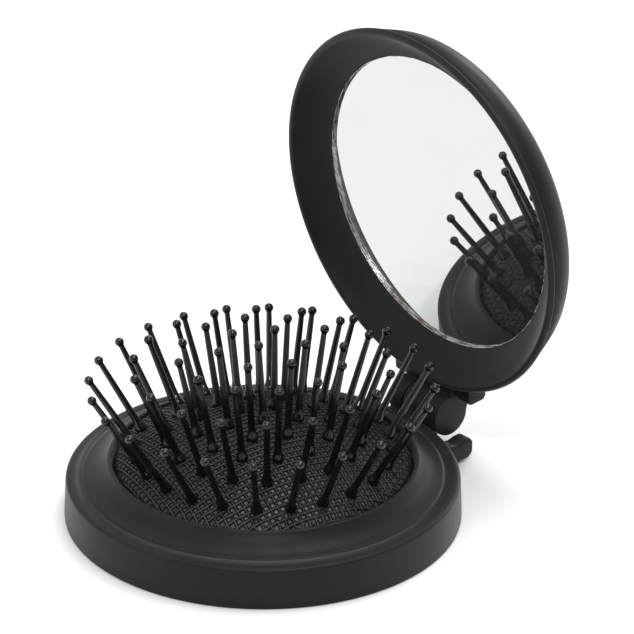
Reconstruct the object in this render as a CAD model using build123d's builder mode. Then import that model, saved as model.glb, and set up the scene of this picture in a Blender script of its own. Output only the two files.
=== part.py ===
from build123d import *
import os
from math import asin, cos, radians, sin, sqrt

# A round folding pocket brush: a base disc whose rubber cushion carries ball-tipped bristles, and a lid
# with a round mirror, hinged at the back. Millimetres, +Z up. The origin is the centre of the base's
# underside, the hinge is at +Y, and the brush stands with its lid open as it is used.

# ---------------------------------------------------------------- driving dimensions
BASE_RADIUS = 35.0  # widest point of the base
CREST_RADIUS = 34.7  # top edge of the skirt
CREST_HEIGHT = 7.5
BAND_RADIUS = 32.0  # inner edge of the flat band inside the crest
BAND_HEIGHT = 7.86
OPENING_RADIUS = 26.6  # the mouth that the cushion shows through
LIP_HEIGHT = 10.9

DOME_TOP = 18.0  # crown of the cushion with the bristles up
DOME_SPHERE = 50.0  # the cushion's outer curve is part of this sphere
DOME_SHOULDER = 24.0  # outside this radius the cushion rolls down into the opening
CUSHION_WALL = 1.6
CUSHION_RADIUS = 26.4
CUSHION_EDGE = 9.2

HINGE_Y = 39.3
HINGE_Z = 8.1
BARREL_RADIUS = 3.95
BARREL_HALF = 6.1
KNUCKLE_HALF = 2.6
EAR_INNER = 2.8
HINGE_PIN_RADIUS = 0.9
HINGE_PIN_HALF = 4.9
PIN_CLEARANCE = 0.04  # radial running clearance on the hinge pin
OPEN_ANGLE = 84.9  # how far the lid stands open at rest

LUG_INNER, LUG_OUTER = 6.6, 9.8  # the stop lugs beside the hinge, along X
BASE_LUG_END = 41.6
LID_LUG_END = 36.7
LUG_CORNER = 1.1
LUG_EDGE = 0.6

LID_RIM_HEIGHT = 8.0  # the closed lid's rim, just over the base's band
LID_RIM_INNER = 33.2
LID_RIM_OUTER = 34.4
LID_WALL_RADIUS = 32.3
LID_WALL_HEIGHT = 13.5
LID_TOP = 17.4
MIRROR_RADIUS = 28.25
MIRROR_HEIGHT = 13.3  # the mirror's face in the closed lid, sunk behind the frame's thin lip
MIRROR_THICKNESS = 1.6
FRAME_LIP_RADIUS = 27.75
FRAME_LIP_HEIGHT = 12.7

# Bristle rings: count, root radius on the cushion, outward lean from the vertical in degrees
BRISTLE_RINGS = {
    "pins_ring_1": (6, 6.2, 6.1),
    "pins_ring_2": (12, 11.8, 11.0),
    "pins_ring_3": (18, 17.0, 21.7),
    "pins_ring_4": (24, 22.5, 31.7),
}
BALL_RADIUS = 0.82
SHAFT_ROOT_RADIUS = 0.64
SHAFT_TIP_RADIUS = 0.5
FOOT_RADIUS = 1.05
FOOT_HEIGHT = 1.5
HEAD_RADIUS = 1.1
PIN_HOLE_RADIUS = 0.7
BRISTLE_LENGTH = 14.7  # root to ball centre

PLATE_RADIUS = 26.4
PLATE_BOTTOM = 5.2
PLATE_TOP = 6.6
SUPPORT_RING = 14.4  # mean radius of the wall that holds the cushion up
SUPPORT_WALL = 1.2
HUB_RADIUS = 4.2
PLATE_SCREW_CIRCLE = 9.6

WELL_RADIUS = 27.0  # the hole in the underside
FLOOR_THICKNESS = 1.4
FLOOR_RADIUS = 33.05
SHELF_BOTTOM, SHELF_TOP = 4.4, 5.6
SHELF_INNER = 30.4
COVER_SCREW_CIRCLE = 31.2
FLOOR_SCREW_CIRCLE = 30.9
SCREW_RADIUS = 0.7
SCREW_HEAD_RADIUS = 1.35

sphere_centre = DOME_TOP - DOME_SPHERE


def dome_height(radius, sphere=DOME_SPHERE):
    """Height of the dome's spherical surface at a distance from the axis."""
    return sphere_centre + sqrt(sphere**2 - radius**2)


def dome_middle(inner, outer, sphere):
    """The point of the dome's section halfway between two radii."""
    middle = (inner + outer) / 2
    return middle, dome_height(middle, sphere)


def cap_middle(top, rim_radius, rim_height):
    """The middle of the arc that runs from a spherical cap's top, on the axis, down to its rim."""
    rise = top - rim_height
    sphere = (rim_radius**2 + rise**2) / (2 * rise)
    half_angle = asin(rim_radius / sphere) / 2
    return sphere * sin(half_angle), top - sphere * (1 - cos(half_angle))


def ring_angles(count, first=0.0):
    return [first + 360.0 * step / count for step in range(count)]


def on_circle(radius, angle, z=0.0):
    return radius * cos(radians(angle)), radius * sin(radians(angle)), z


def opened(part):
    """Turn a piece drawn in the closed lid up to where the lid stands."""
    hinge_axis = Axis((0, HINGE_Y, HINGE_Z), (1, 0, 0))
    return part.rotate(hinge_axis, -OPEN_ANGLE)


def keep(part, name):
    part.label = name
    export_step(part, f"parts/{name}.step")


def stop_lug(outline, side):
    """A rounded lug beside the hinge, drawn as its outline across the hinge and as thick as the lugs are."""
    with BuildPart(mode=Mode.PRIVATE) as lug:
        with BuildSketch(Plane.YZ.offset(side)):
            with BuildLine():
                Polyline(*outline, close=True)
            make_face()
        extrude(amount=LUG_OUTER - LUG_INNER)
        fillet(lug.edges().filter_by(Axis.X).sort_by(Axis.Y)[2:], LUG_CORNER)
        fillet(lug.faces().sort_by(Axis.X)[0].edges().sort_by(Axis.Y)[1:], LUG_EDGE)
        fillet(lug.faces().sort_by(Axis.X)[-1].edges().sort_by(Axis.Y)[1:], LUG_EDGE)
    return lug.part


os.makedirs("parts", exist_ok=True)

# The lugs stop the lid when it lies flat open: the base's end faces the lid's end there.
base_lug_outline = [(33.6, 0.4), (BASE_LUG_END, 0.4), (BASE_LUG_END, 4.4), (36.4, 4.3), (33.6, 6.0)]
lid_lug_outline = [(31.5, 9.2), (LID_LUG_END, 9.2), (LID_LUG_END, 13.6), (31.0, 13.9)]

# ---------------------------------------------------------------- base
with BuildPart() as base_shell:
    with BuildSketch(Plane.XZ):
        with BuildLine():
            Polyline(
                (FLOOR_RADIUS + 0.05, 0.9),
                (FLOOR_RADIUS + 0.05, 0.0),
                (BASE_RADIUS - 0.9, 0.0),
            )
            RadiusArc((BASE_RADIUS - 0.9, 0.0), (BASE_RADIUS, 0.95), -0.95)
            Polyline((BASE_RADIUS, 0.95), (CREST_RADIUS, CREST_HEIGHT - 0.35))
            RadiusArc(
                (CREST_RADIUS, CREST_HEIGHT - 0.35),
                (CREST_RADIUS - 0.4, CREST_HEIGHT),
                -0.4,
            )
            Polyline(
                (CREST_RADIUS - 0.4, CREST_HEIGHT),
                (BAND_RADIUS + 0.03, BAND_HEIGHT),
                (BAND_RADIUS + 0.03, SHELF_TOP),
                (SHELF_INNER, SHELF_TOP),
                (SHELF_INNER, SHELF_BOTTOM),
                (FLOOR_RADIUS + 0.05, SHELF_BOTTOM),
                (FLOOR_RADIUS + 0.05, 0.9),
            )
        make_face()
    revolve(axis=Axis.Z)
    # bosses under the shelf for the floor's screws
    with BuildSketch(Plane.XY.offset(FLOOR_THICKNESS + 0.02)):
        with PolarLocations(FLOOR_SCREW_CIRCLE, 3, start_angle=30):
            Circle(2.1)
    extrude(amount=SHELF_BOTTOM - FLOOR_THICKNESS)
    with BuildSketch(Plane.XY):
        with PolarLocations(FLOOR_SCREW_CIRCLE, 3, start_angle=30):
            Circle(SCREW_RADIUS + 0.03)
    extrude(amount=4.9, mode=Mode.SUBTRACT)
    # holes through the shelf for the cover's screws
    with BuildSketch(Plane.XY.offset(SHELF_BOTTOM - 0.5)):
        with PolarLocations(COVER_SCREW_CIRCLE, 6):
            Circle(SCREW_RADIUS + 0.03)
    extrude(amount=SHELF_TOP - SHELF_BOTTOM + 0.6, mode=Mode.SUBTRACT)
    # hinge knuckle on a web that runs down into the skirt
    with BuildSketch(Plane.YZ.offset(-KNUCKLE_HALF)):
        with Locations((HINGE_Y, HINGE_Z)):
            Circle(BARREL_RADIUS)
        with BuildLine():
            Polyline(
                (34.2, 1.6),
                (38.4, 1.6),
                (41.9, 5.1),
                (HINGE_Y, HINGE_Z),
                (36.2, 10.0),
                (34.2, 6.6),
                close=True,
            )
        make_face()
    extrude(amount=2 * KNUCKLE_HALF)
    for side in (LUG_INNER, -LUG_OUTER):
        add(stop_lug(base_lug_outline, side))
    with BuildSketch(Plane.YZ.offset(-KNUCKLE_HALF - 1)):
        with Locations((HINGE_Y, HINGE_Z)):
            Circle(HINGE_PIN_RADIUS + PIN_CLEARANCE)
    extrude(amount=2 * KNUCKLE_HALF + 2, mode=Mode.SUBTRACT)
keep(base_shell.part, "base_shell")

with BuildPart() as top_cover:
    with BuildSketch(Plane.XZ):
        with BuildLine():
            ThreePointArc(
                (BAND_RADIUS, BAND_HEIGHT), (29.0, 9.0), (OPENING_RADIUS + 0.6, LIP_HEIGHT)
            )
            ThreePointArc(
                (OPENING_RADIUS + 0.6, LIP_HEIGHT),
                (OPENING_RADIUS + 0.2, LIP_HEIGHT - 0.02),
                (OPENING_RADIUS, LIP_HEIGHT - 0.4),
            )
            Polyline(
                (OPENING_RADIUS, LIP_HEIGHT - 0.4),
                (OPENING_RADIUS, 8.15),
                (28.9, 8.15),
                (28.9, 7.0),
                (SHELF_INNER - 0.1, 7.0),
                (SHELF_INNER - 0.1, SHELF_TOP + 0.02),
                (BAND_RADIUS, SHELF_TOP + 0.02),
                (BAND_RADIUS, BAND_HEIGHT),
            )
        make_face()
    revolve(axis=Axis.Z)
    with BuildSketch(Plane.XY.offset(SHELF_TOP - 0.5)):
        with PolarLocations(COVER_SCREW_CIRCLE, 6):
            Circle(SCREW_RADIUS + 0.03)
    extrude(amount=2.2, mode=Mode.SUBTRACT)
keep(top_cover.part, "top_cover")

with BuildPart() as cushion_clamp:
    with BuildSketch(Plane.XZ):
        with Locations(((WELL_RADIUS + SHELF_INNER) / 2, (SHELF_TOP + 6.85) / 2)):
            Rectangle(SHELF_INNER - WELL_RADIUS - 0.3, 6.85 - SHELF_TOP)
    revolve(axis=Axis.Z)
keep(cushion_clamp.part, "cushion_clamp")

with BuildPart() as base_floor:
    with BuildSketch(Plane.XZ):
        with BuildLine():
            Polyline(
                (WELL_RADIUS + 0.4, 0),
                (FLOOR_RADIUS, 0),
                (FLOOR_RADIUS, FLOOR_THICKNESS),
                (WELL_RADIUS + 1.4, FLOOR_THICKNESS),
                (WELL_RADIUS + 1.4, SHELF_TOP - 0.05),
                (WELL_RADIUS, SHELF_TOP - 0.05),
                (WELL_RADIUS, 0.4),
                close=True,
            )
        make_face()
    revolve(axis=Axis.Z)
    with Locations(Plane.XY.rotated((180, 0, 0))):
        with PolarLocations(FLOOR_SCREW_CIRCLE, 3, start_angle=-30):
            CounterSinkHole(SCREW_RADIUS + 0.03, SCREW_HEAD_RADIUS + 0.05, depth=2)
keep(base_floor.part, "base_floor")


def countersunk_screw(length):
    """A small screw with its head's flat face at z = 0 and its shank up +Z."""
    head_height = SCREW_HEAD_RADIUS - SCREW_RADIUS
    with BuildPart(mode=Mode.PRIVATE) as screw:
        with BuildSketch(Plane.XZ):
            with BuildLine():
                Polyline(
                    (0, 0),
                    (SCREW_HEAD_RADIUS, 0),
                    (SCREW_RADIUS, head_height),
                    (SCREW_RADIUS, length - 0.5),
                    (0.3, length),
                    (0, length),
                    close=True,
                )
            make_face()
        revolve(axis=Axis.Z)
        with BuildSketch(Plane.XY):
            Rectangle(1.6, 0.3)
            Rectangle(0.3, 1.6)
        extrude(amount=0.35, mode=Mode.SUBTRACT)
    return screw.part


with BuildPart() as floor_screws:
    with PolarLocations(FLOOR_SCREW_CIRCLE, 3, start_angle=30):
        add(countersunk_screw(4.6))
keep(floor_screws.part, "floor_screws")

with BuildPart() as cover_screws:
    for angle in ring_angles(6):
        with Locations(on_circle(COVER_SCREW_CIRCLE, angle, SHELF_BOTTOM - 0.85)):
            Cylinder(SCREW_HEAD_RADIUS, 0.8, align=(Align.CENTER, Align.CENTER, Align.MIN))
        with Locations(on_circle(COVER_SCREW_CIRCLE, angle, SHELF_BOTTOM - 0.1)):
            Cylinder(SCREW_RADIUS, 2.8, align=(Align.CENTER, Align.CENTER, Align.MIN))
keep(cover_screws.part, "cover_screws")

# ---------------------------------------------------------------- cushion and bristles
# A bristle stands on its root and leans outwards from the axis. Each is placed by a plane whose origin is
# the root and whose normal runs up the bristle.


def bristle_planes(count, root_radius, lean):
    planes = []
    for angle in ring_angles(count):
        root = on_circle(root_radius, angle, dome_height(root_radius))
        upwards = on_circle(sin(radians(lean)), angle, cos(radians(lean)))
        tangent = on_circle(1, angle + 90)
        planes.append(Plane(origin=root, x_dir=tangent, z_dir=upwards))
    return planes


ring_planes = {name: bristle_planes(*ring) for name, ring in BRISTLE_RINGS.items()}
centre_plane = Plane.XY.offset(DOME_TOP)
all_planes = [centre_plane] + [plane for planes in ring_planes.values() for plane in planes]

HEAD_TOP = -CUSHION_WALL - 0.12  # a head sits just under the cushion's wall

with BuildPart() as bristle:
    with BuildSketch(Plane.XZ):
        with BuildLine():
            Polyline(
                (0, HEAD_TOP - 0.6),
                (HEAD_RADIUS, HEAD_TOP - 0.6),
                (HEAD_RADIUS, HEAD_TOP),
                (SHAFT_ROOT_RADIUS, HEAD_TOP),
                (SHAFT_ROOT_RADIUS, 0.12),
                (FOOT_RADIUS, 0.12),
            )
            ThreePointArc(
                (FOOT_RADIUS, 0.12),
                (SHAFT_ROOT_RADIUS + 0.1, FOOT_HEIGHT * 0.45),
                (SHAFT_ROOT_RADIUS, FOOT_HEIGHT),
            )
            Polyline(
                (SHAFT_ROOT_RADIUS, FOOT_HEIGHT),
                (SHAFT_TIP_RADIUS, BRISTLE_LENGTH - BALL_RADIUS * 0.85),
                (0, BRISTLE_LENGTH - BALL_RADIUS * 0.85),
                (0, HEAD_TOP - 0.6),
            )
        make_face()
    revolve(axis=Axis.Z)
    with Locations((0, 0, BRISTLE_LENGTH)):
        Sphere(BALL_RADIUS)

with BuildPart() as pin_center:
    with Locations(centre_plane):
        add(bristle.part)
keep(pin_center.part, "pin_center")

for ring_name, planes in ring_planes.items():
    pins = [plane.location * bristle.part for plane in planes]
    keep(Compound(children=[Part(pin.wrapped) for pin in pins]), ring_name)

with BuildPart() as cushion_pad:
    inner_sphere = DOME_SPHERE - CUSHION_WALL
    inner_radius = CUSHION_RADIUS - CUSHION_WALL
    inner_shoulder = DOME_SHOULDER - 0.8
    with BuildSketch(Plane.XZ):
        with BuildLine():
            ThreePointArc(
                (0, DOME_TOP),
                dome_middle(0, DOME_SHOULDER, DOME_SPHERE),
                (DOME_SHOULDER, dome_height(DOME_SHOULDER)),
            )
            ThreePointArc(
                (DOME_SHOULDER, dome_height(DOME_SHOULDER)),
                (25.75, 10.75),
                (CUSHION_RADIUS, CUSHION_EDGE),
            )
            Polyline(
                (CUSHION_RADIUS, CUSHION_EDGE),
                (CUSHION_RADIUS, 8.1),
                (28.8, 8.1),
                (28.8, 6.9),
                (inner_radius, 6.9),
                (inner_radius, 9.0),
            )
            ThreePointArc(
                (inner_radius, 9.0),
                (24.2, 9.95),
                (inner_shoulder, dome_height(inner_shoulder, inner_sphere)),
            )
            ThreePointArc(
                (inner_shoulder, dome_height(inner_shoulder, inner_sphere)),
                dome_middle(0, inner_shoulder, inner_sphere),
                (0, DOME_TOP - CUSHION_WALL),
            )
            Line((0, DOME_TOP - CUSHION_WALL), (0, DOME_TOP))
        make_face()
    revolve(axis=Axis.Z)
    with Locations(*[plane.location for plane in all_planes]):
        Cylinder(PIN_HOLE_RADIUS, 8, mode=Mode.SUBTRACT)
keep(cushion_pad.part, "cushion_pad")

# ---------------------------------------------------------------- push plate
support_sphere = DOME_SPHERE - CUSHION_WALL - 0.9  # the support stays under the bristles' heads

with BuildPart() as cushion_support:
    with BuildSketch(Plane.XY.offset(PLATE_TOP + 0.02)):
        Circle(SUPPORT_RING + SUPPORT_WALL / 2)
    extrude(amount=1.2)
    with BuildSketch(Plane.XZ):
        half = SUPPORT_WALL / 2
        with BuildLine():
            Polyline(
                (SUPPORT_RING - half, PLATE_TOP + 0.02),
                (SUPPORT_RING + half, PLATE_TOP + 0.02),
                (SUPPORT_RING + half, dome_height(SUPPORT_RING + half, support_sphere)),
                (SUPPORT_RING - half, dome_height(SUPPORT_RING - half, support_sphere)),
                close=True,
            )
        make_face()
        with BuildLine():
            Polyline(
                (0, PLATE_TOP + 0.02),
                (HUB_RADIUS, PLATE_TOP + 0.02),
                (HUB_RADIUS, dome_height(HUB_RADIUS, support_sphere)),
                (1.3, dome_height(1.3, support_sphere)),
                (1.3, 14.0),
                (0, 14.0),
                close=True,
            )
        make_face()
    revolve(axis=Axis.Z)
    with BuildSketch(Plane.XY.offset(PLATE_TOP + 0.02)):
        with PolarLocations(PLATE_SCREW_CIRCLE, 3, start_angle=90):
            Circle(1.9)
    extrude(amount=4.4)
    with BuildSketch(Plane.XY.offset(PLATE_TOP - 0.5)):
        with PolarLocations(PLATE_SCREW_CIRCLE, 3, start_angle=90):
            Circle(SCREW_RADIUS + 0.03)
    extrude(amount=4.4, mode=Mode.SUBTRACT)
keep(cushion_support.part, "cushion_support")

with BuildPart() as push_plate:
    with BuildSketch(Plane.XZ):
        with BuildLine():
            Polyline((0, PLATE_TOP), (0, PLATE_BOTTOM + 0.6))
            ThreePointArc(
                (0, PLATE_BOTTOM + 0.6),
                cap_middle(PLATE_BOTTOM + 0.6, 22.0, PLATE_BOTTOM),
                (22.0, PLATE_BOTTOM),
            )
            Polyline(
                (22.0, PLATE_BOTTOM),
                (PLATE_RADIUS - 0.5, PLATE_BOTTOM),
                (PLATE_RADIUS, PLATE_BOTTOM + 0.5),
                (PLATE_RADIUS, PLATE_TOP),
                (0, PLATE_TOP),
            )
        make_face()
    revolve(axis=Axis.Z)
    with BuildSketch(Plane.XY.offset(PLATE_BOTTOM)):
        with PolarLocations(PLATE_SCREW_CIRCLE, 3, start_angle=90):
            Circle(SCREW_HEAD_RADIUS + 0.05)
    extrude(amount=0.9, mode=Mode.SUBTRACT)
    with BuildSketch(Plane.XY.offset(PLATE_BOTTOM)):
        with PolarLocations(PLATE_SCREW_CIRCLE, 3, start_angle=90):
            Circle(SCREW_RADIUS + 0.03)
    extrude(amount=2, mode=Mode.SUBTRACT)
keep(push_plate.part, "push_plate")

with BuildPart() as plate_screws:
    for angle in ring_angles(3, 90):
        with Locations(on_circle(PLATE_SCREW_CIRCLE, angle, PLATE_BOTTOM + 0.6)):
            Cylinder(SCREW_HEAD_RADIUS, 0.28, align=(Align.CENTER, Align.CENTER, Align.MIN))
        with Locations(on_circle(PLATE_SCREW_CIRCLE, angle, PLATE_BOTTOM + 0.8)):
            Cylinder(SCREW_RADIUS, 4.2, align=(Align.CENTER, Align.CENTER, Align.MIN))
keep(plate_screws.part, "plate_screws")

# ---------------------------------------------------------------- hinge pin
with BuildPart() as hinge_pin:
    with BuildSketch(Plane.YZ.offset(-HINGE_PIN_HALF)):
        with Locations((HINGE_Y, HINGE_Z)):
            Circle(HINGE_PIN_RADIUS)
    extrude(amount=2 * HINGE_PIN_HALF)
    chamfer(hinge_pin.edges().filter_by(GeomType.CIRCLE), 0.15)
keep(hinge_pin.part, "hinge_pin")

# ---------------------------------------------------------------- lid, drawn closed and then opened
SEAM = 0.12  # groove between the lid's shell and its inner frame
LID_CEILING = 15.4
lid_inner_wall = [(28.4, LID_CEILING), (31.1, 13.3), (33.5, LID_RIM_HEIGHT + 0.45)]

with BuildPart() as lid_shell:
    with BuildSketch(Plane.XZ):
        with BuildLine():
            Line((LID_RIM_OUTER, LID_RIM_HEIGHT + 0.45), (LID_WALL_RADIUS, LID_WALL_HEIGHT))
            ThreePointArc((LID_WALL_RADIUS, LID_WALL_HEIGHT), (30.86, 15.49), (28.6, 16.38))
            ThreePointArc((28.6, 16.38), cap_middle(LID_TOP, 28.6, 16.38), (0, LID_TOP))
            Polyline(
                (0, LID_TOP),
                (0, LID_CEILING),
                *lid_inner_wall,
                (LID_RIM_OUTER, LID_RIM_HEIGHT + 0.45),
            )
        make_face()
    revolve(axis=Axis.Z)
    # ears and the arms that join them to the wall
    for side in (EAR_INNER, -BARREL_HALF):
        with BuildSketch(Plane.YZ.offset(side)):
            with Locations((HINGE_Y, HINGE_Z)):
                Circle(BARREL_RADIUS)
            with BuildLine():
                Polyline(
                    (33.2, LID_RIM_HEIGHT + 0.45),
                    (36.0, LID_RIM_HEIGHT + 0.45),
                    (HINGE_Y, HINGE_Z),
                    (HINGE_Y + 0.6, HINGE_Z + 3.9),
                    (36.0, 13.6),
                    (31.4, 14.2),
                    close=True,
                )
            make_face()
        extrude(amount=BARREL_HALF - EAR_INNER)
    # web between the arms, clear of the base's knuckle
    with BuildSketch(Plane.YZ.offset(-EAR_INNER)):
        with BuildLine():
            Polyline(
                (33.2, LID_RIM_HEIGHT + 1.4),
                (34.5, LID_RIM_HEIGHT + 1.4),
                (34.9, 12.6),
                (33.4, 13.9),
                (31.6, 13.9),
                close=True,
            )
        make_face()
    extrude(amount=2 * EAR_INNER)
    for side in (LUG_INNER, -LUG_OUTER):
        add(stop_lug(lid_lug_outline, side))
    with BuildSketch(Plane.YZ.offset(-HINGE_PIN_HALF - 0.1)):
        with Locations((HINGE_Y, HINGE_Z)):
            Circle(HINGE_PIN_RADIUS + PIN_CLEARANCE)
    extrude(amount=2 * HINGE_PIN_HALF + 0.2, mode=Mode.SUBTRACT)
    # the hollow stays free for the mirror and its frame
    with BuildSketch(Plane.XZ):
        with BuildLine():
            Polyline(
                (0, LID_RIM_HEIGHT - 1),
                (0, LID_CEILING),
                *lid_inner_wall,
                (33.5, LID_RIM_HEIGHT - 1),
                close=True,
            )
        make_face()
    revolve(axis=Axis.Z, mode=Mode.SUBTRACT)
keep(opened(lid_shell.part), "lid_shell")

with BuildPart() as lid_frame:
    with BuildSketch(Plane.XZ):
        with BuildLine():
            Polyline(
                (LID_RIM_OUTER - 0.15, LID_RIM_HEIGHT + 0.45 - SEAM),
                (LID_RIM_OUTER - 0.05, LID_RIM_HEIGHT + 0.25),
                (LID_RIM_INNER, LID_RIM_HEIGHT),
            )
            ThreePointArc(
                (LID_RIM_INNER, LID_RIM_HEIGHT),
                (30.85, 10.65),
                (FRAME_LIP_RADIUS, FRAME_LIP_HEIGHT),
            )
            Polyline(
                (FRAME_LIP_RADIUS, FRAME_LIP_HEIGHT),
                (MIRROR_RADIUS, MIRROR_HEIGHT - 0.1),
                (MIRROR_RADIUS + 0.15, MIRROR_HEIGHT - 0.1),
                (MIRROR_RADIUS + 0.15, 14.3),
                (29.6, 14.3),
                (30.9, 13.1),
                (33.35, LID_RIM_HEIGHT + 0.45 - SEAM),
                (LID_RIM_OUTER - 0.15, LID_RIM_HEIGHT + 0.45 - SEAM),
            )
        make_face()
    revolve(axis=Axis.Z)
keep(opened(lid_frame.part), "lid_frame")

with BuildPart() as mirror:
    with BuildSketch(Plane.XY.offset(MIRROR_HEIGHT)):
        Circle(MIRROR_RADIUS)
    extrude(amount=MIRROR_THICKNESS)
    chamfer(mirror.edges().group_by(Axis.Z)[0], 0.3)
keep(opened(mirror.part), "mirror")

with BuildPart() as mirror_tape:
    with BuildSketch(Plane.XY.offset(MIRROR_HEIGHT + MIRROR_THICKNESS + 0.02)):
        Circle(MIRROR_RADIUS - 1.5)
    extrude(amount=0.45)
keep(opened(mirror_tape.part), "mirror_tape")
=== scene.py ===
import math
import random

import bmesh
import bpy
import numpy as np
from mathutils import Matrix, Vector


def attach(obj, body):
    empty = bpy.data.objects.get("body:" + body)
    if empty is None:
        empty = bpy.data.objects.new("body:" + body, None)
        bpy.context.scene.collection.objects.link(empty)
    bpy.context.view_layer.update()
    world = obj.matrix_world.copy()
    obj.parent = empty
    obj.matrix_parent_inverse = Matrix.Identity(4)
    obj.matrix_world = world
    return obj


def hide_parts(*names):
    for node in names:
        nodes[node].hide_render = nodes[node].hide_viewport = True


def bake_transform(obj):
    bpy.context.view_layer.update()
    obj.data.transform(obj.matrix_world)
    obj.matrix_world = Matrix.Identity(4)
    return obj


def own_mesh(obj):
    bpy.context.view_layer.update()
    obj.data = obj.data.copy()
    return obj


# Looks of the round folding pocket brush: soft-touch black shells, a crosshatched rubber cushion, glossy
# ball-tipped bristles and a round mirror. Profiles below are in millimetres; the meshes are in metres.

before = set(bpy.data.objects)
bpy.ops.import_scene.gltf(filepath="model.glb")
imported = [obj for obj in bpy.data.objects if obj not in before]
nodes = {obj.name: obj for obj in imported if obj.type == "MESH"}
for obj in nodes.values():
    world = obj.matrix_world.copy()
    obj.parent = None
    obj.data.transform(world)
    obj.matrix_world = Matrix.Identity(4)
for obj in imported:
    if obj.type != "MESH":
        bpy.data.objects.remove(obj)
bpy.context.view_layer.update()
random.seed(7)

MM = 0.001

# ---------------------------------------------------------------- sizes shared with the CAD
BASE_RADIUS = 35.0
CREST_RADIUS, CREST_HEIGHT = 34.7, 7.5
BAND_RADIUS, BAND_HEIGHT = 32.0, 7.86
SKIRT_INNER_RADIUS = 33.1
SHELF_RADIUS, SHELF_BOTTOM, SHELF_TOP = 30.4, 4.4, 5.6
LEDGE_RADIUS, LEDGE_HEIGHT, LEDGE_FOOT = 28.9, 8.15, 7.0  # step in the cover that holds the cushion's edge
MOUTH_RADIUS, LIP_HEIGHT = 26.6, 10.9
DOME_TOP, DOME_SPHERE = 18.0, 50.0  # crown of the cushion, and the radius of the sphere it is part of
DOME_SHOULDER = 24.0
CUSHION_RADIUS, CUSHION_EDGE = 26.4, 9.2
CUSHION_FOOT = 8.2
CUSHION_WALL = 1.6
HINGE_Y, HINGE_Z = 39.3, 8.1
BARREL_RADIUS = 3.95
KNUCKLE_HALF, EAR_INNER, EAR_OUTER = 2.6, 2.8, 6.1
LUG_INNER, LUG_OUTER = 6.6, 9.8
LUG_WIDTH = LUG_OUTER - LUG_INNER
OPEN_ANGLE = 84.9
BRISTLE_LENGTH = 14.7
BALL_RADIUS = 0.82
# for each ring: its bristles, the radius of their roots and how far they lean outwards, in degrees
BRISTLE_RINGS = {
    "pins_ring_1": (6, 6.2, 6.1),
    "pins_ring_2": (12, 11.8, 11.0),
    "pins_ring_3": (18, 17.0, 21.7),
    "pins_ring_4": (24, 22.5, 31.7),
}
# the lid's heights are those of the closed lid
LID_RIM_RADIUS, LID_RIM_HEIGHT = 34.4, 8.6
LID_SHOULDER = (32.3, 13.5)
LID_BACK_RADIUS, LID_TOP, LID_CROWN = 28.6, 17.4, 1.02
LIP_RADIUS, LIP_DEPTH = 27.6, 12.75
FRAME_BACK = 14.3
MIRROR_RADIUS, MIRROR_DEPTH = 28.25, 13.3
MIRROR_GLASS = 1.0
MIRROR_EDGE = 0.12
MIRROR_CENTRE_HEIGHT = HINGE_Z + HINGE_Y  # with the lid open

LATHE_STEPS = 288  # sides of a turned piece
FLOOR_HALF = 9000


# ---------------------------------------------------------------- mesh helpers
def mesh_object(name, vertices, faces, smooth=True):
    """A new object from vertices in millimetres."""
    mesh = bpy.data.meshes.new(name)
    mesh.from_pydata([tuple(np.asarray(v, float) * MM) for v in vertices], [], [tuple(f) for f in faces])
    mesh.validate()
    mesh.update()
    if smooth:
        mesh.polygons.foreach_set("use_smooth", [True] * len(mesh.polygons))
    piece = bpy.data.objects.new(name, mesh)
    bpy.context.scene.collection.objects.link(piece)
    return piece


def rounded(corners, closed=True, steps=5):
    """A polyline through (x, z, radius) corners, each corner rounded off by about its radius."""
    points = []
    count = len(corners)
    for index, (x, z, radius) in enumerate(corners):
        here = np.array([x, z], float)
        if radius <= 0 or (not closed and index in (0, count - 1)):
            points.append(here)
            continue
        before = np.array(corners[index - 1][:2], float) - here
        after = np.array(corners[(index + 1) % count][:2], float) - here
        reach = min(radius, 0.49 * np.linalg.norm(before), 0.49 * np.linalg.norm(after))
        first = here + before / np.linalg.norm(before) * reach
        last = here + after / np.linalg.norm(after) * reach
        for step in range(steps + 1):
            t = step / steps
            points.append((1 - t) ** 2 * first + 2 * t * (1 - t) * here + t**2 * last)
    return points


def arc(first, middle, last, steps=16):
    """Points on the circle through three points, from the first to the last."""
    (ax, ay), (bx, by), (cx, cy) = first, middle, last
    d = 2 * (ax * (by - cy) + bx * (cy - ay) + cx * (ay - by))
    ux = ((ax**2 + ay**2) * (by - cy) + (bx**2 + by**2) * (cy - ay) + (cx**2 + cy**2) * (ay - by)) / d
    uy = ((ax**2 + ay**2) * (cx - bx) + (bx**2 + by**2) * (ax - cx) + (cx**2 + cy**2) * (bx - ax)) / d
    radius = math.hypot(ax - ux, ay - uy)
    start = math.atan2(ay - uy, ax - ux)
    turn_middle = (math.atan2(by - uy, bx - ux) - start) % (2 * math.pi)
    turn = (math.atan2(cy - uy, cx - ux) - start) % (2 * math.pi)
    if turn_middle > turn:
        turn -= 2 * math.pi
    angles = [start + turn * step / steps for step in range(steps + 1)]
    return [(ux + radius * math.cos(a), uy + radius * math.sin(a)) for a in angles]


def lathe(name, profile, closed=True, steps=LATHE_STEPS):
    """The profile's (radius, height) points turned about the vertical axis; points on the axis are shared."""
    rings = []
    vertices = []
    for radius, height in profile:
        if radius < 1e-6:
            rings.append([len(vertices)] * steps)
            vertices.append((0.0, 0.0, height))
            continue
        rings.append(list(range(len(vertices), len(vertices) + steps)))
        for step in range(steps):
            angle = 2 * math.pi * step / steps
            vertices.append((radius * math.cos(angle), radius * math.sin(angle), height))
    faces = []
    pairs = list(zip(rings, rings[1:] + rings[:1])) if closed else list(zip(rings, rings[1:]))
    for low, high in pairs:
        for step in range(steps):
            after = (step + 1) % steps
            corners = [low[step], low[after], high[after], high[step]]
            face = [c for i, c in enumerate(corners) if c != corners[i - 1]]
            if len(face) > 2:
                faces.append(face)
    return mesh_object(name, vertices, faces)


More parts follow.
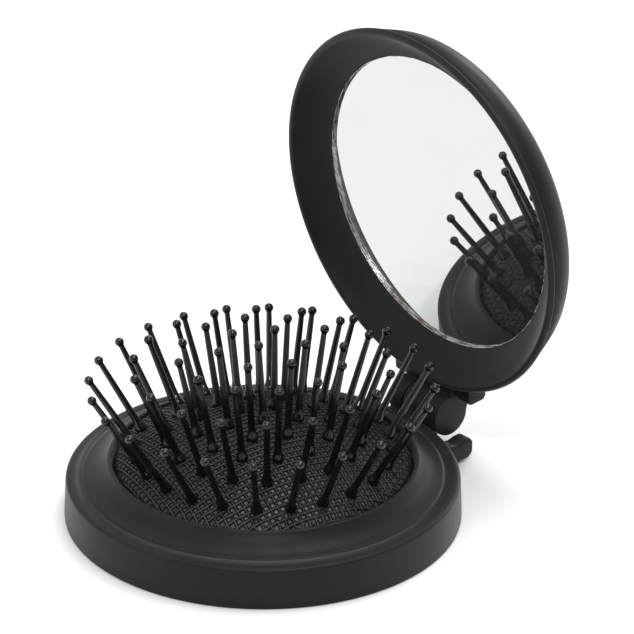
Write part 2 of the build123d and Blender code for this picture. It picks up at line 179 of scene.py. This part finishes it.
def prism(name, outline, low, high, bevel, segments=4):
    """An outline across the hinge, as (y, z) points, given thickness along X and rounded edges."""
    count = len(outline)
    vertices = [(low, y, z) for y, z in outline] + [(high, y, z) for y, z in outline]
    faces = [list(range(count))[::-1], list(range(count, 2 * count))]
    faces += [[i, (i + 1) % count, count + (i + 1) % count, count + i] for i in range(count)]
    piece = mesh_object(name, vertices, faces)
    build = bmesh.new()
    build.from_mesh(piece.data)
    bmesh.ops.recalc_face_normals(build, faces=build.faces)
    sharp = [e for e in build.edges if e.calc_face_angle(0) > math.radians(28)]
    bmesh.ops.bevel(
        build,
        geom=sharp,
        offset=bevel * MM,
        segments=segments,
        profile=0.5,
        affect="EDGES",
        clamp_overlap=True,
    )
    build.to_mesh(piece.data)
    build.free()
    piece.data.polygons.foreach_set("use_smooth", [True] * len(piece.data.polygons))
    return piece


def barrel_outline(steps=72):
    """The hinge barrel's circle, as (y, z) points."""
    angles = [2 * math.pi * step / steps for step in range(steps)]
    return [(HINGE_Y + BARREL_RADIUS * math.cos(a), HINGE_Z + BARREL_RADIUS * math.sin(a)) for a in angles]


def opened(piece):
    """Turns a piece drawn in the closed lid up to where the lid stands at rest."""
    pivot = Vector((0, HINGE_Y * MM, HINGE_Z * MM))
    turn = Matrix.Rotation(math.radians(-OPEN_ANGLE), 4, "X")
    piece.data.transform(Matrix.Translation(pivot) @ turn @ Matrix.Translation(-pivot))
    piece.data.update()
    return piece


def fix_normals(piece):
    """Turns every face of a piece outwards."""
    build = bmesh.new()
    build.from_mesh(piece.data)
    bmesh.ops.recalc_face_normals(build, faces=build.faces)
    build.to_mesh(piece.data)
    build.free()
    return piece


# ---------------------------------------------------------------- materials
def new_material(name):
    material = bpy.data.materials.new(name)
    material.use_nodes = True
    tree = material.node_tree
    return material, tree, tree.nodes["Principled BSDF"]


def noise(tree, scale, detail=3.0, roughness=0.55, distortion=0.0):
    """A noise node in object space; the scale is in features per metre."""
    place = tree.nodes.new("ShaderNodeTexCoord")
    node = tree.nodes.new("ShaderNodeTexNoise")
    node.inputs["Scale"].default_value = scale
    node.inputs["Detail"].default_value = detail
    node.inputs["Roughness"].default_value = roughness
    node.inputs["Distortion"].default_value = distortion
    tree.links.new(place.outputs["Object"], node.inputs["Vector"])
    return node


def ramp(tree, source, low, high, low_value, high_value):
    """Maps a range of a value onto another range, as a number."""
    node = tree.nodes.new("ShaderNodeMapRange")
    node.inputs["From Min"].default_value = low
    node.inputs["From Max"].default_value = high
    node.inputs["To Min"].default_value = low_value
    node.inputs["To Max"].default_value = high_value
    tree.links.new(source, node.inputs["Value"])
    return node.outputs["Result"]


def mix_colour(tree, factor, first, second):
    """Two colours mixed by a factor; each is a tuple or the output of another node."""
    node = tree.nodes.new("ShaderNodeMix")
    node.data_type = "RGBA"
    tree.links.new(factor, node.inputs["Factor"])
    for socket, value in ((node.inputs["A"], first), (node.inputs["B"], second)):
        if isinstance(value, tuple):
            socket.default_value = (*value, 1.0)
        else:
            tree.links.new(value, socket)
    return node.outputs["Result"]


def add_bump(tree, shader, height, strength, distance):
    """Fine relief from a height; the distance is in metres."""
    node = tree.nodes.new("ShaderNodeBump")
    node.inputs["Strength"].default_value = strength
    node.inputs["Distance"].default_value = distance
    tree.links.new(height, node.inputs["Height"])
    tree.links.new(node.outputs["Normal"], shader.inputs["Normal"])


def soft_touch(name, dark, light, roughness, dust=True):
    """Rubber-painted plastic: a very fine grain, faint cloudy wear and a few specks of dust."""
    material, tree, shader = new_material(name)
    clouds = noise(tree, 90.0, 4.0)
    grain = noise(tree, 5200.0, 2.0)
    factor = ramp(tree, clouds.outputs["Fac"], 0.35, 0.7, 0.0, 1.0)
    colour = mix_colour(tree, factor, dark, light)
    if dust:
        place = tree.nodes.new("ShaderNodeTexCoord")
        specks = tree.nodes.new("ShaderNodeTexVoronoi")
        specks.inputs["Scale"].default_value = 260.0
        tree.links.new(place.outputs["Object"], specks.inputs["Vector"])
        chosen = ramp(tree, specks.outputs["Color"], 0.90, 0.91, 0.0, 1.0)
        close = ramp(tree, specks.outputs["Distance"], 0.055, 0.03, 0.0, 1.0)
        both = tree.nodes.new("ShaderNodeMath")
        both.operation = "MULTIPLY"
        tree.links.new(chosen, both.inputs[0])
        tree.links.new(close, both.inputs[1])
        colour = mix_colour(tree, both.outputs["Value"], colour, DUST)
    tree.links.new(colour, shader.inputs["Base Color"])
    tree.links.new(
        ramp(tree, clouds.outputs["Fac"], 0.3, 0.75, roughness - 0.05, roughness + 0.06),
        shader.inputs["Roughness"],
    )
    add_bump(tree, shader, grain.outputs["Fac"], 0.22, 0.00006)
    shader.inputs["Specular IOR Level"].default_value = 0.16
    shader.inputs["Sheen Weight"].default_value = 0.10
    shader.inputs["Sheen Roughness"].default_value = 0.45
    return material


DUST = (0.34, 0.33, 0.31)
shell_black = soft_touch("soft_touch_black", (0.0090, 0.0086, 0.0089), (0.0125, 0.0120, 0.0123), 0.46)
lid_black = soft_touch("lid_black", (0.0110, 0.0101, 0.0105), (0.0150, 0.0142, 0.0146), 0.46)
inner_black = soft_touch("moulded_black", (0.016, 0.016, 0.017), (0.022, 0.022, 0.023), 0.42, dust=False)


def rubber_material():
    """The cushion's dull rubber, with a fine grain."""
    material, tree, shader = new_material("cushion_rubber")
    clouds = noise(tree, 420.0, 3.0)
    grain = noise(tree, 7000.0, 2.0)
    factor = ramp(tree, clouds.outputs["Fac"], 0.3, 0.7, 0.0, 1.0)
    tree.links.new(mix_colour(tree, factor, (0.011, 0.0105, 0.010), (0.018, 0.017, 0.016)),
                   shader.inputs["Base Color"])
    tree.links.new(ramp(tree, grain.outputs["Fac"], 0.3, 0.7, 0.36, 0.50), shader.inputs["Roughness"])
    add_bump(tree, shader, grain.outputs["Fac"], 0.35, 0.00005)
    shader.inputs["Specular IOR Level"].default_value = 0.5
    return material


def nylon_material(name, smooth, rough):
    """Moulded nylon, with faint draw lines along the bristles."""
    material, tree, shader = new_material(name)
    streaks = noise(tree, 1500.0, 2.0)
    smears = noise(tree, 600.0, 3.0)
    factor = ramp(tree, smears.outputs["Fac"], 0.3, 0.7, 0.0, 1.0)
    tree.links.new(mix_colour(tree, factor, (0.0042, 0.0034, 0.0033), (0.0078, 0.0064, 0.0062)),
                   shader.inputs["Base Color"])
    tree.links.new(ramp(tree, smears.outputs["Fac"], 0.3, 0.7, smooth, rough), shader.inputs["Roughness"])
    add_bump(tree, shader, streaks.outputs["Fac"], 0.05, 0.00004)
    shader.inputs["Specular IOR Level"].default_value = 0.5
    return material


def mirror_material():
    """Silvered glass with faint smudges."""
    material, tree, shader = new_material("mirror_silver")
    smudge = noise(tree, 60.0, 4.0)
    shader.inputs["Metallic"].default_value = 0.975
    factor = ramp(tree, smudge.outputs["Fac"], 0.3, 0.7, 0.0, 1.0)
    tree.links.new(mix_colour(tree, factor, (0.650, 0.662, 0.657), (0.664, 0.675, 0.670)),
                   shader.inputs["Base Color"])
    tree.links.new(ramp(tree, smudge.outputs["Fac"], 0.35, 0.7, 0.0, 0.012), shader.inputs["Roughness"])
    return material


def silver_edge_material():
    """The cut and silvered edge of the glass: bright streaks along it, dark flaws and a few brown spots."""
    material, tree, shader = new_material("mirror_cut_edge")
    place = tree.nodes.new("ShaderNodeTexCoord")
    parts = tree.nodes.new("ShaderNodeSeparateXYZ")
    tree.links.new(place.outputs["Object"], parts.inputs["Vector"])
    height = tree.nodes.new("ShaderNodeMath")
    height.operation = "SUBTRACT"
    height.inputs[1].default_value = MIRROR_CENTRE_HEIGHT * MM
    tree.links.new(parts.outputs["Z"], height.inputs[0])
    angle = tree.nodes.new("ShaderNodeMath")
    angle.operation = "ARCTAN2"
    tree.links.new(parts.outputs["X"], angle.inputs[0])
    tree.links.new(height.outputs["Value"], angle.inputs[1])
    streaks = tree.nodes.new("ShaderNodeCombineXYZ")
    tree.links.new(ramp(tree, angle.outputs["Value"], -math.pi, math.pi, -34.0, 34.0), streaks.inputs["X"])
    tree.links.new(ramp(tree, parts.outputs["Y"], 0.0, 0.1, 0.0, 500.0), streaks.inputs["Y"])
    crinkle = tree.nodes.new("ShaderNodeTexNoise")
    crinkle.inputs["Scale"].default_value = 1.0
    crinkle.inputs["Detail"].default_value = 5.0
    crinkle.inputs["Roughness"].default_value = 0.6
    crinkle.inputs["Distortion"].default_value = 0.4
    tree.links.new(streaks.outputs["Vector"], crinkle.inputs["Vector"])
    spots = noise(tree, 240.0, 2.0)
    silvering = ramp(tree, crinkle.outputs["Fac"], 0.38, 0.56, 0.0, 1.0)
    colour = mix_colour(tree, silvering, (0.10, 0.10, 0.10), (0.93, 0.94, 0.96))
    brown = ramp(tree, spots.outputs["Fac"], 0.62, 0.70, 0.0, 0.7)
    tree.links.new(mix_colour(tree, brown, colour, (0.24, 0.12, 0.05)), shader.inputs["Base Color"])
    shader.inputs["Metallic"].default_value = 0.75
    tree.links.new(ramp(tree, crinkle.outputs["Fac"], 0.3, 0.7, 0.18, 0.35), shader.inputs["Roughness"])
    add_bump(tree, shader, crinkle.outputs["Fac"], 0.5, 0.0002)
    return material


def steel_material():
    """Brushed steel of the screws and the hinge pin."""
    material, tree, shader = new_material("screw_steel")
    brushed = noise(tree, 3000.0, 3.0)
    tree.links.new(mix_colour(tree, ramp(tree, brushed.outputs["Fac"], 0.3, 0.7, 0.0, 1.0),
                              (0.30, 0.30, 0.31), (0.46, 0.46, 0.47)), shader.inputs["Base Color"])
    shader.inputs["Metallic"].default_value = 1.0
    tree.links.new(ramp(tree, brushed.outputs["Fac"], 0.3, 0.7, 0.28, 0.45), shader.inputs["Roughness"])
    return material


def foam_material():
    """Open-celled foam of the mirror's mounting tape."""
    material, tree, shader = new_material("foam_tape")
    cells = noise(tree, 2500.0, 4.0)
    tree.links.new(mix_colour(tree, ramp(tree, cells.outputs["Fac"], 0.3, 0.7, 0.0, 1.0),
                              (0.62, 0.62, 0.60), (0.78, 0.78, 0.76)), shader.inputs["Base Color"])
    shader.inputs["Roughness"].default_value = 0.9
    add_bump(tree, shader, cells.outputs["Fac"], 0.5, 0.0001)
    return material


rubber = rubber_material()
nylon = nylon_material("bristle_nylon", 0.08, 0.16)
ball_nylon = nylon_material("polished_nylon", 0.02, 0.05)
silver = mirror_material()
silver_edge = silver_edge_material()
steel = steel_material()
foam = foam_material()


def paint(piece, material):
    """Gives a piece one material only."""
    piece.data.materials.clear()
    piece.data.materials.append(material)
    return piece


def dress(piece, material, body, slot, *replaced):
    """Material and body of a new piece, and the CAD nodes it stands for; the slot is not used."""
    paint(piece, material)
    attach(piece, body)
    if replaced:
        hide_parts(*replaced)
    return piece


# CAD nodes that stay, hidden inside or underneath
for node_name, material in {
    "cushion_clamp": inner_black,
    "base_floor": shell_black,
    "floor_screws": steel,
    "cover_screws": steel,
    "push_plate": shell_black,
    "plate_screws": steel,
    "cushion_support": inner_black,
    "hinge_pin": steel,
    "mirror_tape": foam,
}.items():
    nodes[node_name].data.materials.clear()
    nodes[node_name].data.materials.append(material)

# ---------------------------------------------------------------- base
skirt_profile = rounded(
    [
        (SKIRT_INNER_RADIUS, 0.9, 0.1),
        (SKIRT_INNER_RADIUS, 0.0, 0.15),
        (34.1, 0.0, 0.0),
        (BASE_RADIUS, 0.02, 1.0),
        (CREST_RADIUS, CREST_HEIGHT, 0.55),
        (BAND_RADIUS + 0.01, BAND_HEIGHT + 0.02, 0),
        (BAND_RADIUS + 0.01, SHELF_TOP, 0.05),
        (SHELF_RADIUS, SHELF_TOP, 0.05),
        (SHELF_RADIUS, SHELF_BOTTOM, 0.05),
        (SKIRT_INNER_RADIUS, SHELF_BOTTOM, 0.05),
    ]
)
skirt = fix_normals(lathe("base_skirt", skirt_profile))
dress(skirt, shell_black, "base", "shell_black", "base_shell")

cover_profile = [
    (BAND_RADIUS, BAND_HEIGHT + 0.02),
    *arc((BAND_RADIUS - 0.6, BAND_HEIGHT + 0.16), (29.0, 9.0), (MOUTH_RADIUS + 0.75, LIP_HEIGHT - 0.1), 24),
    *rounded(
        [
            (MOUTH_RADIUS + 0.72, LIP_HEIGHT - 0.07, 0),
            (MOUTH_RADIUS + 0.45, LIP_HEIGHT + 0.06, 0.2),
            (MOUTH_RADIUS, LIP_HEIGHT, 0.3),
            (MOUTH_RADIUS, LEDGE_HEIGHT, 0.05),
            (LEDGE_RADIUS, LEDGE_HEIGHT, 0.05),
            (LEDGE_RADIUS, LEDGE_FOOT, 0.05),
            (SHELF_RADIUS - 0.1, LEDGE_FOOT, 0.05),
            (SHELF_RADIUS - 0.1, SHELF_TOP + 0.02, 0.05),
            (BAND_RADIUS, SHELF_TOP + 0.02, 0),
        ],
        closed=False,
    ),
]
cover = fix_normals(lathe("top_ring", cover_profile))
dress(cover, shell_black, "base", "shell_black", "top_cover")

knuckle = prism("base_knuckle", barrel_outline(), -KNUCKLE_HALF, KNUCKLE_HALF, 0.3)
dress(knuckle, shell_black, "base", "shell_black", "base_shell")
web_outline = [(34.0, 1.6), (38.4, 1.6), (41.7, 5.0), (HINGE_Y, HINGE_Z), (36.4, 9.7), (34.2, 6.6)]
web = prism("base_hinge_web", web_outline, -KNUCKLE_HALF + 0.02, KNUCKLE_HALF - 0.02, 0.25)
dress(web, shell_black, "base", "shell_black", "base_shell")

base_lug_outline = [
    (33.8, 0.45), (40.4, 0.45), (41.55, 1.4), (41.58, 3.6), (40.9, 4.38), (39.4, 4.3), (37.9, 3.9),
    (36.6, 4.1), (35.4, 4.9), (33.8, 6.0),
]
for side, low in (("right", LUG_INNER), ("left", -LUG_OUTER)):
    lug = prism(f"base_lug_{side}", base_lug_outline, low, low + LUG_WIDTH, 0.5)
    dress(lug, shell_black, "base", "shell_black", "base_shell")

# ---------------------------------------------------------------- cushion
sphere_centre = DOME_TOP - DOME_SPHERE
shoulder_points = arc(
    (DOME_SHOULDER, sphere_centre + math.sqrt(DOME_SPHERE**2 - DOME_SHOULDER**2)),
    (25.75, 10.75),
    (CUSHION_RADIUS, CUSHION_EDGE),
    24,
)


def dome_height(radius):
    """Height of the cushion's top above a radius: a sphere, then a shoulder rolled down to the edge."""
    radius = np.asarray(radius, float)
    sphere = sphere_centre + np.sqrt(DOME_SPHERE**2 - np.minimum(radius, DOME_SHOULDER) ** 2)
    rolled = np.interp(radius, [p[0] for p in shoulder_points], [p[1] for p in shoulder_points])
    return np.where(radius < DOME_SHOULDER, sphere, rolled)


HATCH_PITCH = 1.29
HATCH_ANGLE = math.radians(-14.0)
# depth below the dome, by the distance from the middle of the nearest rib: rib, groove and raised pad
HATCH_STEPS = [(0.0, 0.0), (0.09, 0.04), (0.14, 0.50), (0.27, 0.50), (0.38, 0.15)]
INNER_RINGS = 14


def hatch_depth(across, along):
    """Depth of the crosshatch where two sets of ribs cross."""
    distances = [step[0] for step in HATCH_STEPS] + [HATCH_PITCH / 2]
    depths = [step[1] for step in HATCH_STEPS] + [HATCH_STEPS[-1][1] - 0.03]
    offsets = [np.abs((value + HATCH_PITCH / 2) % HATCH_PITCH - HATCH_PITCH / 2) for value in (across, along)]
    return np.interp(np.minimum(*offsets), distances, depths)


def border_loop(quads):
    """The outer edge of a sheet of quads, as one closed list of vertex indices."""
    edges = {(a, b) for quad in quads for a, b in zip(quad, quad[1:] + quad[:1])}
    following = {a: b for a, b in edges if (b, a) not in edges}
    loop = [next(iter(sorted(following)))]
    while following[loop[-1]] != loop[0]:
        loop.append(following[loop[-1]])
    return loop


def crosshatched_cushion():
    """The dome with a square lattice of thin ribs round small raised pads, over a smooth inner wall."""
    cells = int(CUSHION_RADIUS / HATCH_PITCH) + 2
    steps = [step[0] for step in HATCH_STEPS]
    in_cell = sorted(steps + [HATCH_PITCH - step for step in steps[1:]])
    lines = np.array([cell * HATCH_PITCH + step for cell in range(-cells, cells) for step in in_cell])
    across, along = np.meshgrid(lines, lines, indexing="ij")
    x = across * math.cos(HATCH_ANGLE) - along * math.sin(HATCH_ANGLE)
    y = across * math.sin(HATCH_ANGLE) + along * math.cos(HATCH_ANGLE)
    radius = np.hypot(x, y)
    edge = CUSHION_RADIUS - 0.02
    outside = (radius > edge).reshape(-1)
    shrink = np.where(radius > edge, edge / np.maximum(radius, 1e-9), 1.0)
    x, y, radius = x * shrink, y * shrink, np.minimum(radius, edge)
    fade = np.clip((CUSHION_RADIUS - 0.15 - radius) / 0.4, 0, 1)
    z = dome_height(radius) - hatch_depth(across, along) * fade
    index = np.arange(len(lines) ** 2).reshape(len(lines), len(lines))
    quads = np.stack([index[:-1, :-1], index[1:, :-1], index[1:, 1:], index[:-1, 1:]], axis=-1).reshape(-1, 4)
    quads = quads[~outside[quads].all(axis=1)]
    used, faces = np.unique(quads, return_inverse=True)
    faces = faces.reshape(-1, 4).tolist()
    vertices = np.stack([x, y, z], axis=-1).reshape(-1, 3)[used].tolist()
    ring = border_loop(faces)
    turns = [math.atan2(vertices[corner][1], vertices[corner][0]) for corner in ring]
    inner_radius = CUSHION_RADIUS - CUSHION_WALL
    count = len(ring)
    for step in range(INNER_RINGS):
        reach = inner_radius * (1 - step / INNER_RINGS)
        height = float(dome_height(reach)) - CUSHION_WALL if step else CUSHION_FOOT
        after = list(range(len(vertices), len(vertices) + count))
        vertices += [[reach * math.cos(turn), reach * math.sin(turn), height] for turn in turns]
        faces += [[ring[(i + 1) % count], ring[i], after[i], after[(i + 1) % count]] for i in range(count)]
        ring = after
    vertices.append([0.0, 0.0, DOME_TOP - CUSHION_WALL])
    middle = len(vertices) - 1
    faces += [[ring[(i + 1) % count], ring[i], middle] for i in range(count)]
    return mesh_object("cushion_rubber_dome", vertices, faces, smooth=False)


cushion = crosshatched_cushion()
paint(cushion, rubber)
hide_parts("cushion_pad")
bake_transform(cushion)

# ---------------------------------------------------------------- bristles
BALL_STEPS = 14
SHAFT_SIDES = 24
BRISTLE_PHASE = 1.1
SWAY = math.radians(0.7)
FIELD_LEAN = math.radians(1.4)
FIELD_LEAN_TOWARDS = (-0.66, -0.75)
CENTRE_LEAN = 0.3
CENTRE_FIELD_LEAN = math.radians(3.4)
NECK_RADIUS = 0.50


def bristle_profile(length):
    """(radius, height) up the bristle: a flared foot, a tapering shaft and a ball."""
    turns = [math.pi * step / BALL_STEPS for step in range(BALL_STEPS + 1)]
    ball = [(BALL_RADIUS * math.sin(turn), -BALL_RADIUS * math.cos(turn)) for turn in turns]
    above = [(r, length + h) for r, h in ball if r > NECK_RADIUS + 0.05 or h > 0]
    low = math.sqrt(BALL_RADIUS**2 - NECK_RADIUS**2)
    return [
        (0.0, -0.9),
        (0.95, -0.9),
        (1.05, -0.1),
        (1.08, 0.20),
        (1.00, 0.62),
        (0.84, 1.10),
        (0.70, 1.65),
        (0.64, 2.4),
        (0.60, 5.0),
        (0.56, 9.0),
        (0.52, 12.0),
        (NECK_RADIUS - 0.01, length - low - 0.25),
        (NECK_RADIUS, length - low - 0.08),
        (NECK_RADIUS + 0.05, length - low + 0.03),
        *above,
    ]


def bristle(name, root, direction, node_name):
    """One bristle from its root along its direction; its ball is more polished than its shaft."""
    piece = lathe(name, bristle_profile(BRISTLE_LENGTH), closed=False, steps=SHAFT_SIDES)
    turn = Vector(direction).to_track_quat("Z", "Y").to_matrix().to_4x4()
    piece.data.transform(Matrix.Translation(Vector(root) * MM) @ turn)
    piece.data.update()
    dress(fix_normals(piece), nylon, "carrier", "bristle_nylon", node_name)
    piece.data.materials.append(ball_nylon)
    ball_centre = (Vector(root) + BRISTLE_LENGTH * Vector(direction)) * MM
    for face in piece.data.polygons:
        if (face.center - ball_centre).length < BALL_RADIUS * MM:
            face.material_index = 1
    return piece


def bristle_direction(lean, angle, field_lean=FIELD_LEAN):
    """Where a bristle points: its ring's lean, a small sway of its own and the whole field's slight lean."""
    lean = math.radians(lean) + random.uniform(-SWAY, SWAY)
    around = math.radians(angle) + random.uniform(-1.6, 1.6) * SWAY / max(math.sin(lean), 0.4)
    direction = Vector((math.sin(lean) * math.cos(around), math.sin(lean) * math.sin(around), math.cos(lean)))
    direction += Vector((*FIELD_LEAN_TOWARDS, 0.0)) * math.sin(field_lean)
    return direction.normalized()


# how much of its outward reach from its root each outer ring keeps once the bristles are down
SQUASH_KEEP = {"pins_ring_3": 0.25, "pins_ring_4": 0.10}
centre_direction = bristle_direction(CENTRE_LEAN, 90.0, CENTRE_FIELD_LEAN)
bristle("bristle_centre", (0, 0, DOME_TOP), centre_direction, "pin_center")
for ring_name, (count, root_radius, lean) in BRISTLE_RINGS.items():
    for step in range(count):
        angle = 360.0 * step / count + BRISTLE_PHASE
        outward = (math.cos(math.radians(angle)), math.sin(math.radians(angle)), 0.0)
        root = (root_radius * outward[0], root_radius * outward[1], float(dome_height(root_radius)))
        pin_name = f"bristle_{ring_name[-1]}_{step + 1:02d}"
        pin = bristle(pin_name, root, bristle_direction(lean, angle), ring_name)
        if ring_name in SQUASH_KEEP:
            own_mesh(pin)

# ---------------------------------------------------------------- lid
lid_profile = [
    *rounded(
        [
            (LID_RIM_RADIUS - 0.9, LID_RIM_HEIGHT + 0.01, 0.05),
            (LID_RIM_RADIUS - 0.04, LID_RIM_HEIGHT + 0.01, 0),
            (*LID_SHOULDER, 0.3),
        ],
        closed=False,
    ),
    *arc(LID_SHOULDER, (30.86, 15.49), (LID_BACK_RADIUS, LID_TOP - LID_CROWN), 20)[1:],
    *[(r, LID_TOP - (r / LID_BACK_RADIUS) ** 2 * LID_CROWN) for r in (24.0, 18.0, 12.0, 6.0, 0.0)],
    (0.0, 15.4),
    (28.4, 15.4),
    (31.1, 13.3),
]
lid_dish = opened(fix_normals(lathe("lid_dish", lid_profile)))
dress(lid_dish, lid_black, "lid", "shell_black", "lid_shell")

frame_profile = [
    *arc((32.88, 8.36), (30.85, 10.65), (LIP_RADIUS + 0.08, LIP_DEPTH - 0.06), 24),
    *rounded(
        [
            (LIP_RADIUS + 0.08, LIP_DEPTH - 0.06, 0),
            (LIP_RADIUS + 0.03, LIP_DEPTH + 0.01, 0.03),
            (MIRROR_RADIUS + 0.04, MIRROR_DEPTH - 0.06, 0.05),
            (MIRROR_RADIUS + 0.15, MIRROR_DEPTH - 0.04, 0.05),
            (MIRROR_RADIUS + 0.15, FRAME_BACK, 0.05),
            (29.6, FRAME_BACK, 0.05),
            (30.9, 13.1, 0.05),
            (33.35, LID_RIM_HEIGHT, 0.05),
            (LID_RIM_RADIUS, LID_RIM_HEIGHT, 0),
        ],
        closed=False,
    ),
    *arc((34.42, 8.5), (33.8, 7.88), (32.9, 8.34), 14),
]
lid_ring = opened(fix_normals(lathe("lid_inner_ring", frame_profile)))
dress(lid_ring, lid_black, "lid", "shell_black", "lid_frame")

arm_outline = [(33.2, 8.6), (36.0, 8.5), (HINGE_Y, HINGE_Z), (39.9, 11.9), (36.0, 13.6), (31.6, 14.1)]
for side, low, high in (("right", EAR_INNER, EAR_OUTER), ("left", -EAR_OUTER, -EAR_INNER)):
    ear = opened(prism(f"lid_ear_{side}", barrel_outline(), low, high, 0.3))
    dress(ear, lid_black, "lid", "shell_black", "lid_shell")
    arm = opened(prism(f"lid_arm_{side}", arm_outline, low + 0.02, high - 0.02, 0.25))
    dress(arm, lid_black, "lid", "shell_black", "lid_shell")
bridge_outline = [(33.3, 9.5), (34.5, 9.5), (34.9, 12.5), (33.4, 13.8), (31.8, 13.8)]
bridge = opened(prism("lid_hinge_bridge", bridge_outline, -EAR_INNER - 0.1, EAR_INNER + 0.1, 0.2))
dress(bridge, lid_black, "lid", "shell_black", "lid_shell")
lid_lug_outline = [(32.2, 9.3), (36.0, 9.25), (36.65, 9.9), (36.65, 12.9), (36.0, 13.55), (31.4, 13.8)]
for side, low in (("right", LUG_INNER), ("left", -LUG_OUTER)):
    lug = opened(prism(f"lid_lug_{side}", lid_lug_outline, low, low + LUG_WIDTH, 0.4))
    dress(lug, lid_black, "lid", "shell_black", "lid_shell")

# ---------------------------------------------------------------- mirror
mirror_profile = [
    (0.0, MIRROR_DEPTH),
    (MIRROR_RADIUS - MIRROR_EDGE, MIRROR_DEPTH),
    (MIRROR_RADIUS - 0.2, MIRROR_DEPTH + 0.1),
    (MIRROR_RADIUS - 0.2, MIRROR_DEPTH + MIRROR_GLASS),
    (0.0, MIRROR_DEPTH + MIRROR_GLASS),
]
mirror = opened(fix_normals(lathe("mirror_glass", mirror_profile)))
dress(mirror, silver, "lid", "mirror_glass", "mirror")
# flat shading, so that the rounded edge doesn't bend what the face reflects
mirror.data.polygons.foreach_set("use_smooth", [False] * len(mirror.data.polygons))
edge_profile = [
    (LIP_RADIUS - 0.06, LIP_DEPTH + 0.03),
    (LIP_RADIUS + 0.02, LIP_DEPTH + 0.01),
    (MIRROR_RADIUS + 0.02, MIRROR_DEPTH - 0.05),
    (MIRROR_RADIUS + 0.02, MIRROR_DEPTH + 0.2),
    (MIRROR_RADIUS - MIRROR_EDGE, MIRROR_DEPTH + 0.06),
    (MIRROR_RADIUS - MIRROR_EDGE, MIRROR_DEPTH - 0.02),
]
mirror_edge = opened(fix_normals(lathe("mirror_cut_edge", edge_profile)))
dress(mirror_edge, silver_edge, "lid", "mirror_glass", "mirror")

# ---------------------------------------------------------------- floor, light and camera
floor = mesh_object(
    "floor",
    [(x * FLOOR_HALF, y * FLOOR_HALF, 0) for x, y in ((-1, -1), (1, -1), (1, 1), (-1, 1))],
    [[0, 1, 2, 3]],
    smooth=False,
)
floor_material, floor_tree, floor_shader = new_material("pale_floor")
speckle = noise(floor_tree, 40.0, 3.0)
floor_tree.links.new(
    mix_colour(floor_tree, ramp(floor_tree, speckle.outputs["Fac"], 0.3, 0.7, 0.0, 1.0),
               (0.87, 0.87, 0.87), (0.89, 0.89, 0.89)),
    floor_shader.inputs["Base Color"],
)
floor_shader.inputs["Roughness"].default_value = 0.9
floor_shader.inputs["Specular IOR Level"].default_value = 0.1
paint(floor, floor_material)

# a white room, dimmer on the side where the photographer stands
ROOM_STRENGTH, DIM_STRENGTH = 0.72, 0.10
DIM_SIDE = (0.90, -0.43, 0.0)
world = bpy.data.worlds.new("studio")
bpy.context.scene.world = world
world.use_nodes = True
sky = world.node_tree
background = sky.nodes["Background"]
facing = sky.nodes.new("ShaderNodeTexCoord")
towards = sky.nodes.new("ShaderNodeVectorMath")
towards.operation = "DOT_PRODUCT"
towards.inputs[1].default_value = DIM_SIDE
sky.links.new(facing.outputs["Generated"], towards.inputs[0])
room_light = ramp(sky, towards.outputs["Value"], 0.45, 0.92, ROOM_STRENGTH, DIM_STRENGTH)
sky.links.new(room_light, background.inputs["Strength"])
background.inputs["Color"].default_value = (1.0, 1.0, 1.0, 1.0)


def softbox(name, place, target, width, height, power):
    """A rectangular light at a place, facing a target; metres and watts."""
    light = bpy.data.lights.new(name, "AREA")
    light.shape = "RECTANGLE"
    light.size = width
    light.size_y = height
    light.energy = power
    lamp = bpy.data.objects.new(name, light)
    bpy.context.scene.collection.objects.link(lamp)
    lamp.location = place
    lamp.rotation_euler = (Vector(target) - Vector(place)).to_track_quat("-Z", "Y").to_euler()


softbox("top_box", (0.0, 0.25, 1.3), (0, 0, 0.02), 0.6, 0.6, 8.0)
softbox("key_box", (0.57, -0.47, 0.95), (0, 0, 0.02), 0.16, 0.16, 4.5)
softbox("fill_box", (-0.5, -1.05, 0.38), (0, 0, 0.03), 0.7, 0.5, 1.8)
softbox("back_box", (-0.35, 1.25, 0.75), (0, 0, 0.04), 0.9, 0.7, 9.0)

FOCAL_PIXELS = 5014.6
FRAME_PIXELS = 634
SENSOR = 36.0
CAMERA_AZIMUTH = math.radians(48.25)
CAMERA_ELEVATION = math.radians(26.45)
CAMERA_ROLL = math.radians(0.47)
CAMERA_PLACE = (0.58533, -0.51008, 0.42458)
back = Vector((
    math.sin(CAMERA_AZIMUTH) * math.cos(CAMERA_ELEVATION),
    -math.cos(CAMERA_AZIMUTH) * math.cos(CAMERA_ELEVATION),
    math.sin(CAMERA_ELEVATION),
))
level_right = Vector((math.cos(CAMERA_AZIMUTH), math.sin(CAMERA_AZIMUTH), 0))
level_up = back.cross(level_right)
right = math.cos(CAMERA_ROLL) * level_right + math.sin(CAMERA_ROLL) * level_up
up = back.cross(right)
camera_data = bpy.data.cameras.new("camera")
camera_data.sensor_width = SENSOR
camera_data.lens = FOCAL_PIXELS * SENSOR / FRAME_PIXELS
camera_data.clip_start = 0.01
camera_data.clip_end = 50.0
camera = bpy.data.objects.new("camera", camera_data)
bpy.context.scene.collection.objects.link(camera)
place = Matrix((right, up, back)).transposed().to_4x4()
place.translation = Vector(CAMERA_PLACE)
camera.matrix_world = place
bpy.context.scene.camera = camera
bpy.context.scene.view_settings.view_transform = "Standard"

bpy.context.view_layer.update()
